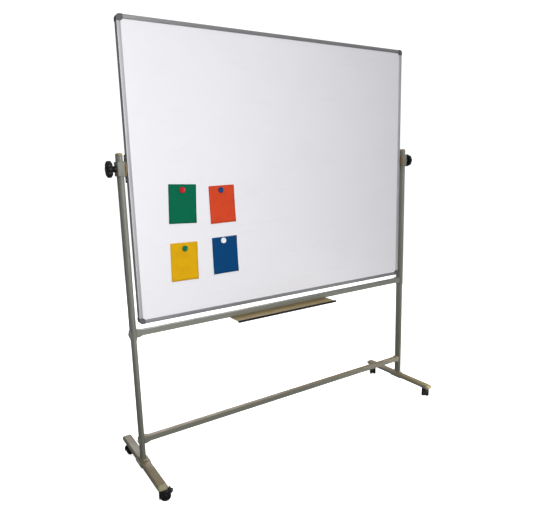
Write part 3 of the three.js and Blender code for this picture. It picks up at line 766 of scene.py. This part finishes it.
def crossbars():
    """Square tube whose ends swell into saddles that lie on the uprights."""
    bar_radius, saddle_radius = 3 * MM, 5.5 * MM
    # (share of the way from tube to saddle, mm back from the upright)
    swell = [(0, 30), (0.05, 26), (0.18, 22), (0.42, 18), (0.72, 14), (0.93, 10), (1, 6), (1, 2.5)]
    for level in ("upper", "lower"):
        node = level + "_crossbar"
        half, centre = half_size(node), middle(node)
        upright = half_size("upper_upright_left") if level == "upper" else LOWER_TUBE
        upright_x = middle("upper_upright_right").x
        saddle_wide, saddle_tall = 2 * half.y, 2 * half.z
        face = upright_x - upright.x
        rings = []
        for share, back in swell:
            wide, tall = BAR + share * (saddle_wide - BAR), BAR + share * (saddle_tall - BAR)
            radius = bar_radius + share * (saddle_radius - bar_radius)
            rings.append(at("x", rounded(wide, tall, radius), face - back * MM))
        saddle = coped(rounded(saddle_wide, saddle_tall, saddle_radius), upright.x, upright.y, 0.35 * MM)
        rings.append([(upright_x - x, y, z) for x, y, z in saddle])
        mirrored = [[(-x, y, z) for x, y, z in ring] for ring in rings]
        skin = loft(list(reversed(mirrored)) + rings)
        stand_for(node, [skin], COATED, Matrix.Translation((0, 0, centre.z)))


def joint_bolts():
    """A domed saddle washer on the upright's outer face, with a button-headed screw in it."""
    for side in SIDES:
        for level in ("upper", "lower"):
            node = f"joint_bolt_{level}_{side}"
            half = half_size(node)
            upright = half_size("upper_upright_left") if level == "upper" else LOWER_TUBE
            a, b = upright.x, upright.y
            # In mm: (inset, height above the upright), from its foot to its crown
            dome = [(0.4, 0.35), (0, 0.8), (0, 2.2), (0.5, 3.1), (1.6, 3.8), (3.4, 4.3), (5.4, 4.5)]
            section = rounded_section(half.y, half.z, 6 * MM)
            rings = [coped(section(inset * MM), a, b, up * MM) for inset, up in dome]
            head = moved(screw_head(5 * MM, 3 * MM, 4 * MM), Matrix.Translation((a + 4.4 * MM, 0, 0)))
            place = side_place(side, node)
            stand_for(node, [loft(rings)], COATED, place)
            add_to(node, f"joint_screw_{level}_{side}", [head], ZINC, place)


# ---------------------------------------------------------------- pivot


def pivot_blocks():
    """A rounded block with the oval of the upright through it."""
    for side in SIDES:
        node = "pivot_block_" + side
        half = half_size(node)
        upright = half_size("upper_upright_" + side)
        outer = rounded_section(half.x, half.y, 6 * MM)
        # (inset in mm, height)
        stations = [(1.2, -half.z), (0.35, -half.z + 0.35 * MM), (0, -half.z + 1.2 * MM)]
        stations += [(inset, -z) for inset, z in reversed(stations)]
        rings = [at("z", outer(inset * MM), z) for inset, z in stations]
        clearance = 0.25 * MM
        bore = oval_facing(outer(0), upright.x + clearance, upright.y + clearance)
        rings += [at("z", bore, half.z), at("z", bore, -half.z)]
        stand_for(node, [loft(rings, loop=True)], COATED, side_place(side, node))


def friction_discs():
    """Flat rings with a shallow groove in both faces and a rounded rim."""
    material = friction_fibre()
    # In mm: (radius, depth below the face)
    groove = [(6, 0), (10, 0), (10.5, 0.5), (20, 0.5), (20.5, 0)]
    for side in SIDES:
        node = "friction_disc_" + side
        half = half_size(node)
        rim, face = half.z, -half.x
        profile = [(radius * MM, face + depth * MM) for radius, depth in groove]
        profile += [(rim - 1 * MM, face), (rim - 0.3 * MM, face + 0.3 * MM), (rim, face + 1 * MM)]
        profile += [(radius, -height) for radius, height in reversed(profile)]
        rings = [at("x", oval(radius, radius, 96), height) for radius, height in profile]
        place = Matrix.Translation(middle(node))
        stand_for(node, [loft(rings, loop=True)], material, place)


def knob_stations(radius, neck, reach):
    """A knob from its neck to its face, as (radius, distance out, depth of the hollows between lobes)."""
    # In mm: (radius, distance beyond the neck's foot, depth of the hollows)
    back = [(12.6, 0, 0), (13, 0.6, 0), (12.2, 4, 0), (12, 8, 0), (12.8, 12, 0)]
    back += [(15, 15, 0.2), (20, 16.8, 0.8)]
    stations = [(r * MM, neck + out * MM, hollow * MM) for r, out, hollow in back]
    head = neck + 17.2 * MM
    depth = 0.94 * (reach - head)
    steps, edge_round, hollow_depth = 8, 5.5 * MM, 3.2 * MM
    for k in range(steps + 1):
        turn = pi * k / steps
        bulge = sin(turn) ** 0.5 if 0 < k < steps else 0.0
        hollow = hollow_depth * (0.45 + 0.55 * bulge)
        stations.append((radius - edge_round * (1 - bulge), head + depth * (1 - cos(turn)) / 2, hollow))
    # In mm: (radius, distance short of the face, depth of the hollows)
    front = [(radius / MM - 8, 0.4, 1.2), (16, 1.2, 0), (12.5, 1.4, 0), (12, 0.6, 0), (8, 0.15, 0), (1, 0, 0)]
    return stations + [(r * MM, reach - short * MM, hollow * MM) for r, short, hollow in front]


def knobs():
    """Lobed hand knob: a flared neck, a waisted back, eight finger lobes and a dished face."""
    lobes, count = 8, 192
    for side in SIDES:
        node = "knob_" + side
        low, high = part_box(node)
        upright_x = middle("upper_upright_" + side).x
        reach = max(abs(low.x - upright_x), abs(high.x - upright_x))
        stud_end = min(abs(low.x), abs(high.x)) - abs(upright_x)
        neck = half_size("pivot_block_" + side).x + 0.3 * MM
        rings = []
        for radius, out, hollow in knob_stations(half_size(node).z, neck, reach):
            ring = []
            for k in range(count):
                turn = 2 * pi * k / count
                r = radius - hollow * (0.5 - 0.5 * cos(lobes * turn)) ** 2.2
                ring.append((out, r * cos(turn), r * sin(turn)))
            rings.append(ring)
        stud = [(4.4 * MM, stud_end), (5 * MM, stud_end + 0.6 * MM), (5 * MM, neck + 1 * MM)]
        stand_for(node, [loft(rings), turned(stud, "x", 32)], BLACK, side_place(side, node), 40)


# ---------------------------------------------------------------- feet

FOOT_WALL, FOOT_RADIUS = 1.8 * MM, 9 * MM


def feet():
    """The flat tubes on the castors, and the saddles under them."""
    for side in SIDES:
        node = "foot_" + side
        low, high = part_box(node)
        half = half_size(node)
        section = rounded_section(half.x, half.z, FOOT_RADIUS)
        skin = tube(section, FOOT_WALL, low.y, high.y, "y", 0.4 * MM)
        stand_for(node, [skin], COATED, Matrix.Translation((middle(node).x, 0, middle(node).z)))
        keep_node("foot_saddle_" + side, COATED, 0.5 * MM, 25)


def foot_plugs():
    """Plugs with a rounded nose and a narrow collar against the tube's end."""
    insert, collar, nose_inset, steps = FOOT_WALL + 0.3 * MM, 2.4 * MM, 8.6 * MM, 14
    for side in SIDES:
        for end, sign in (("front", -1), ("rear", 1)):
            node = f"foot_plug_{end}_{side}"
            low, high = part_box(node)
            half = half_size(node)
            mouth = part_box("foot_" + side)[1].y + 0.3 * MM
            tip = high.y if sign > 0 else -low.y
            inner = low.y if sign > 0 else -high.y
            # (inset, distance from the stand's middle)
            stations = [(insert + 1 * MM, inner), (insert, inner + 1 * MM), (insert, mouth)]
            stations += [(0.2 * MM, mouth), (0, mouth + 0.3 * MM), (0, mouth + collar)]
            for k in range(1, steps + 1):
                turn = pi / 2 * k / steps
                forward = (tip - mouth - collar) * sin(turn) ** 0.8
                stations.append((nose_inset * (1 - cos(turn)), mouth + collar + forward))
            section = rounded_section(half.x, half.z, FOOT_RADIUS)
            rings = [at("y", section(inset), y) for inset, y in stations]
            place = Matrix.Translation((middle(node).x, 0, middle(node).z)) @ facing(sign)
            stand_for(node, [loft(rings)], PLUG, place)


# ---------------------------------------------------------------- pen tray


def pen_tray():
    """Folded sheet: a hemmed back edge, a flat floor and a small upstand inside the black edging."""
    low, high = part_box("pen_tray")
    # In mm: (behind the front edge, above the floor of the tray)
    upstand = [(4, 0), (2.2, 0.5), (1.5, 2), (0.3, 2), (0.6, -0.3), (3, -1.2)]
    # In mm: (ahead of the back edge, above the floor of the tray)
    hem = [(1, -1.2), (0.2, -0.9), (0.2, -0.3), (1, 0)]
    profile = [(low.y + behind * MM, high.z + up * MM) for behind, up in upstand]
    profile += [(high.y - ahead * MM, high.z + up * MM) for ahead, up in hem]
    skin = loft([at("x", profile, low.x), at("x", profile, high.x)])
    stand_for("pen_tray", [skin], tray_paint())
    keep_node("pen_tray_edge", BLACK, 0.5 * MM)
    screw_spacing = 0.4 * (high.x - low.x)
    for k in (-1, 0, 1):
        spot = Vector((middle("pen_tray").x + k * screw_spacing, 0, low.z))
        place = Matrix.Translation(spot) @ Matrix.Rotation(pi, 4, "X")
        head = screw_head(4 * MM, 2.2 * MM, 2.5 * MM, "z")
        add_to("pen_tray", f"tray_screw_{k + 2}", [head], ZINC, place)


# ---------------------------------------------------------------- castors

WHEEL_RADIUS, WHEEL_WIDTH, WEB = 22 * MM, 13 * MM, 7 * MM
HOOD_INNER, HOOD_OUTER, HOOD_HALF_WIDTH = 23.2 * MM, 25.8 * MM, 20 * MM
HOOD_FROM, HOOD_TO = 62, 205  # degrees round the axle


def castor_place(name):
    """A frame on a castor's axle, with +X away from the stem and +Y along the axle."""
    joint = JOINTS["wheel_roll_" + name]
    axle = Vector(joint["axis"])
    away = axle.cross(Vector((0, 0, 1)))
    turn = Matrix((away, axle, Vector((0, 0, 1)))).transposed().to_4x4()
    return Matrix.Translation(joint["pos_m"]) @ turn


def stem_offset(name):
    """Where the stem is from the axle, along the castor's +X."""
    swivel, roll = JOINTS["castor_swivel_" + name]["pos_m"], JOINTS["wheel_roll_" + name]["pos_m"]
    return -hypot(swivel[0] - roll[0], swivel[1] - roll[1])


def swept(section, start, end, steps):
    """A (width, radius) section swept about the axle from start to end, in degrees from +X up."""
    rings = []
    for k in range(steps + 1):
        turn = radians(start + (end - start) * k / steps)
        rings.append([(r * cos(turn), v, r * sin(turn)) for v, r in section])
    return loft(rings)


def hood_section():
    """Half a roof over each wheel, with rounded shoulders, and the web between the wheels."""
    w, o, i = HOOD_HALF_WIDTH, HOOD_OUTER, HOOD_INNER
    shoulder = 3.4 * MM
    arc = [pi / 2 * k / 6 for k in range(7)]
    right = [(w - shoulder + shoulder * cos(t), o - shoulder + shoulder * sin(t)) for t in arc]
    left = [(-v, r) for v, r in reversed(right)]
    lip = i - 1.2 * MM
    under = [(-w, lip), (-w + 1.4 * MM, lip), (-w + 1.6 * MM, i), (-WEB / 2, i), (-WEB / 2, 8 * MM)]
    return right + left + under + [(-v, r) for v, r in reversed(under)]


def castor_housing(name):
    """A hood over both wheels, a round web between them, and the boss and stem that it turns on."""
    housing = new_object("housing", [swept(hood_section(), HOOD_FROM, HOOD_TO, 48)])
    # In mm: (radius, distance along the axle)
    web = [(17.4, -3.5), (18, -2.9), (18, 2.9), (17.4, 3.5)]
    combine(housing, new_object("web", [turned([(r * MM, v * MM) for r, v in web], "y", 96)]), "UNION")
    # In mm: (radius, height above the axle)
    stem = [(9, 8), (10, 9), (10, 23.6), (9.4, 24.6), (8.2, 25.6), (8, 26.4), (8, 30.7), (5, 30.7)]
    stem += [(5, 45.2), (4.4, 46)]
    post = turned([(r * MM, h * MM) for r, h in stem])
    boss = new_object("boss", [moved(post, Matrix.Translation((stem_offset(name), 0, 0)))])
    room_width = 30 * MM
    for start in (-WEB / 2 - room_width, WEB / 2):
        room = turned([(HOOD_INNER, 0), (HOOD_INNER, room_width)], "y", 96)
        room = moved(room, Matrix.Translation((0, start, 0)))
        combine(boss, new_object("room", [room]), "DIFFERENCE")
    combine(housing, boss, "UNION")
    if name in BRAKED:
        combine(housing, new_object("ear", [brake_ear()]), "UNION")
    return housing


def pedal_pin(name):
    """Where the pedal's pin is, from the axle, as distance out and up."""
    pin, roll = (Vector(JOINTS[kind + name]["pos_m"]) for kind in ("brake_press_", "wheel_roll_"))
    across = pin - roll
    return hypot(across.x, across.y), across.z


def brake_ear():
    """A rounded lug from the web up to the pedal's pin."""
    u, z = pedal_pin("front_left")
    reach, heading = hypot(u, z), atan2(z, u)
    tip_radius, root, root_half = 4.6 * MM, 12 * MM, 6 * MM
    turns = [pi * (k / 12 - 0.5) for k in range(13)]
    outline = [(reach + tip_radius * cos(t), tip_radius * sin(t)) for t in turns]
    outline += [(root, root_half), (root, -root_half)]
    turned_outline = [
        (p * cos(heading) - q * sin(heading), p * sin(heading) + q * cos(heading)) for p, q in outline
    ]
    return loft([at("y", turned_outline, v) for v in (-WEB / 2, WEB / 2)])


def castor_wheels():
    """Two wheels with rounded treads, five sunk panels and a hub cap, on one axle."""
    w, r = WHEEL_WIDTH, WHEEL_RADIUS
    inner = WEB / 2 + 0.7 * MM
    # (radius, distance from the inner face, share of the panels' depth)
    stations = [(5 * MM, 0, 0), (r - 1.6 * MM, 0, 0), (r - 0.5 * MM, 0.5 * MM, 0), (r, 1.6 * MM, 0)]
    stations += [(r, w - 3.4 * MM, 0), (r - 0.5 * MM, w - 1.6 * MM, 0), (r - 1.6 * MM, w - 0.5 * MM, 0)]
    stations += [(r - 3 * MM, w, 0), (r - 5 * MM, w, 0), (r - 5.6 * MM, w - 0.8 * MM, 0.6)]
    stations += [(r - 6.2 * MM, w - 1.2 * MM, 1), (9.4 * MM, w - 1.2 * MM, 1), (8.6 * MM, w - 0.8 * MM, 0.6)]
    stations += [(7.6 * MM, w - 0.3 * MM, 0), (6.8 * MM, w + 0.1 * MM, 0), (5 * MM, w + 0.5 * MM, 0)]
    stations += [(1 * MM, w + 0.7 * MM, 0)]
    panels, count, panel_depth = 5, 100, 2.2 * MM
    wheels = []
    for side in (-1, 1):
        rings = []
        for radius, out, share in stations:
            ring = []
            for k in range(count):
                turn = 2 * pi * k / count
                sunk = share * panel_depth * (0.5 + 0.5 * tanh(5 * (cos(panels * turn) + 0.55)))
                ring.append((radius * cos(turn), side * (inner + out - sunk), radius * sin(turn)))
            rings.append(ring)
        wheels.append(loft(rings))
    axle = turned([(3 * MM, -w), (3 * MM, w)], "y", 32)
    return [*wheels, axle]


def brake_pedal(name):
    """A curved shoe over the treads and a ridged lever for the foot, on a hub split by the ear."""
    inner, outer, half = 24.6 * MM, 28.2 * MM, 15 * MM
    shoe_from, shoe_to, lever_angle = 22, 50, radians(34)
    lever_width, lever_reach, steps = 24 * MM, 9.8 * MM, 14
    section = rounded(2 * half, outer - inner, 1.2 * MM, 6)
    shoe_section = [(v, (inner + outer) / 2 + r) for v, r in section]
    pedal = new_object("pedal", [swept(shoe_section, shoe_from, shoe_to, 20)])
    root = inner + 1 * MM
    rings = []
    for k in range(steps + 1):
        share = k / steps
        ridge = 0.5 if k % 3 == 1 and k > 5 else 0
        ring = rounded(lever_width * (1 - 0.12 * share ** 3), (4.2 - 1.2 * share + ridge) * MM, 1.2 * MM, 6)
        ring_x = root * cos(lever_angle) + share * lever_reach
        ring_z = root * sin(lever_angle) - 0.6 * MM * share
        rings.append([(ring_x, v, ring_z + h) for v, h in ring])
    combine(pedal, new_object("lever", [loft(rings)]), "UNION")
    hub = [(3.0 * MM, -half), (3.6 * MM, -half + 0.6 * MM), (3.6 * MM, half - 0.6 * MM), (3.0 * MM, half)]
    gap = [(8 * MM, -WEB / 2 - 0.6 * MM), (8 * MM, WEB / 2 + 0.6 * MM)]
    pin = [(2.1 * MM, -half + 0.5 * MM), (2.1 * MM, half - 0.5 * MM)]
    u, z = pedal_pin(name)
    for profile, count, operation in ((hub, 64, "UNION"), (gap, 64, "DIFFERENCE"), (pin, 32, "UNION")):
        skin = moved(turned(profile, "y", count), Matrix.Translation((u, 0, z)))
        combine(pedal, new_object("pedal_hub", [skin]), operation)
    return pedal


def put(obj, node, material, place):
    """Names and places a combined object, to stand for a CAD node."""
    obj.name = obj.data.name = node + "_fine"
    obj.data.transform(place)
    shade(obj.data)
    finish_piece(obj, node, material)


def castors():
    """Housing, wheels and pedal of each castor, in its own frame."""
    wheel_material = tyre()
    for name in CASTORS:
        place = castor_place(name)
        put(castor_housing(name), "castor_housing_" + name, BLACK, place)
        stand_for("castor_wheels_" + name, castor_wheels(), wheel_material, place)
        if name in BRAKED:
            put(brake_pedal(name), "brake_pedal_" + name, BLACK, place)


# ---------------------------------------------------------------- stage, light and camera


def floor():
    """A pale studio floor. To the camera it glows to white, so that only soft contact shadows show."""
    bpy.ops.mesh.primitive_circle_add(vertices=96, radius=60, fill_type="NGON")
    ground = bpy.context.object
    ground.name = "floor"
    finish = Finish("floor", (150, 150, 150), 0.9)
    finish.set("Specular IOR Level", 0.0)
    finish.tint(finish.between(finish.noise(1.2, 3.0), 0.3, 0.7, 0.0, 0.25), (146, 146, 147))
    seen = finish.node("ShaderNodeLightPath").outputs["Is Camera Ray"]
    finish.tint(seen, (245, 245, 245))
    finish.set("Emission Color", (1, 1, 1, 1))
    finish.set("Emission Strength", finish.times(seen, 0.76))
    ground.data.materials.append(finish.material)


def world():
    """White to the camera. As a light it is soft, bright from the front right and dim from the left."""
    dim, bright, white = (0.08, 0.10, 0.11, 1), (0.67, 0.665, 0.70, 1), (1.1, 1.1, 1.1, 1)
    made = bpy.data.worlds.new("studio")
    made.use_nodes = True
    tree = made.node_tree
    towards = add_node(tree, "ShaderNodeTexCoord").outputs["Generated"]
    front_right = (0.8, -0.6, 0.0)
    inputs = {0: towards, 1: front_right}
    along = add_node(tree, "ShaderNodeVectorMath", inputs, operation="DOT_PRODUCT").outputs["Value"]
    share = add_node(tree, "ShaderNodeMapRange", {"Value": along, "From Min": -1.0}).outputs["Result"]
    seen = add_node(tree, "ShaderNodeLightPath").outputs["Is Camera Ray"]
    colour = mixed(tree, seen, mixed(tree, share, dim, bright), white)
    feed(tree, tree.nodes["Background"].inputs["Color"], colour)
    bpy.context.scene.world = made


def softbox(name, place, target, size, power, colour, spread=180):
    """A rectangular lamp aimed at a target, with a beam of spread degrees."""
    lamp = bpy.data.lights.new(name, "AREA")
    lamp.shape = "RECTANGLE"
    lamp.spread = radians(spread)
    lamp.size, lamp.size_y = size
    lamp.energy = power
    lamp.color = colour
    obj = bpy.data.objects.new(name, lamp)
    obj.location = place
    obj.rotation_euler = (Vector(target) - Vector(place)).to_track_quat("-Z", "Y").to_euler()
    obj.visible_camera = False
    bpy.context.scene.collection.objects.link(obj)


def lights():
    """Soft studio light: a key lamp close to the front left, and lamps at the right, above and behind."""
    softbox("key", (-0.95, -2.1, 1.4), (-0.75, 0, 1.15), (1.0, 2.4), 35.5, (1.0, 1.0, 1.0))
    softbox("right", (1.2, -1.3, 0.3), (0.7, 0, 0.3), (0.8, 0.5), 2, (1.0, 0.98, 0.92))
    softbox("right_foot", (1.3, -1.3, 0.45), (0.85, -0.25, 0.03), (0.6, 0.4), 1.5, (1.0, 0.92, 0.78), 36)
    softbox("top", (0.3, -0.4, 4.4), (0.1, 0, 0), (3.2, 3.2), 11, (1.0, 0.95, 0.84))
    softbox("back", (0.6, 3.4, 2.2), (0, 0, 1.1), (3.0, 2.4), 75, (1.0, 1.0, 1.0))


def camera():
    """The camera, by its heading, tilt and roll."""
    heading, tilt, roll = CAMERA_HEADING, CAMERA_TILT, CAMERA_ROLL
    ahead = Vector((sin(heading) * cos(tilt), cos(heading) * cos(tilt), sin(tilt)))
    level = Vector((cos(heading), -sin(heading), 0))
    upright = level.cross(ahead)
    across = cos(roll) * level + sin(roll) * upright
    up = cos(roll) * upright - sin(roll) * level
    data = bpy.data.cameras.new("camera")
    data.lens = CAMERA_LENS
    data.sensor_width = 36
    obj = bpy.data.objects.new("camera", data)
    obj.matrix_world = Matrix.Translation(CAMERA_PLACE) @ Matrix((across, up, -ahead)).transposed().to_4x4()
    bpy.context.scene.collection.objects.link(obj)
    bpy.context.scene.camera = obj


board_frame()
pivot_plates()
cards()
magnets()
upper_uprights()
lower_uprights()
upright_caps()
crossbars()
joint_bolts()
pivot_blocks()
friction_discs()
knobs()
feet()
foot_plugs()
pen_tray()
castors()
floor()
world()
lights()
camera()
bpy.context.scene.view_settings.view_transform = "Standard"
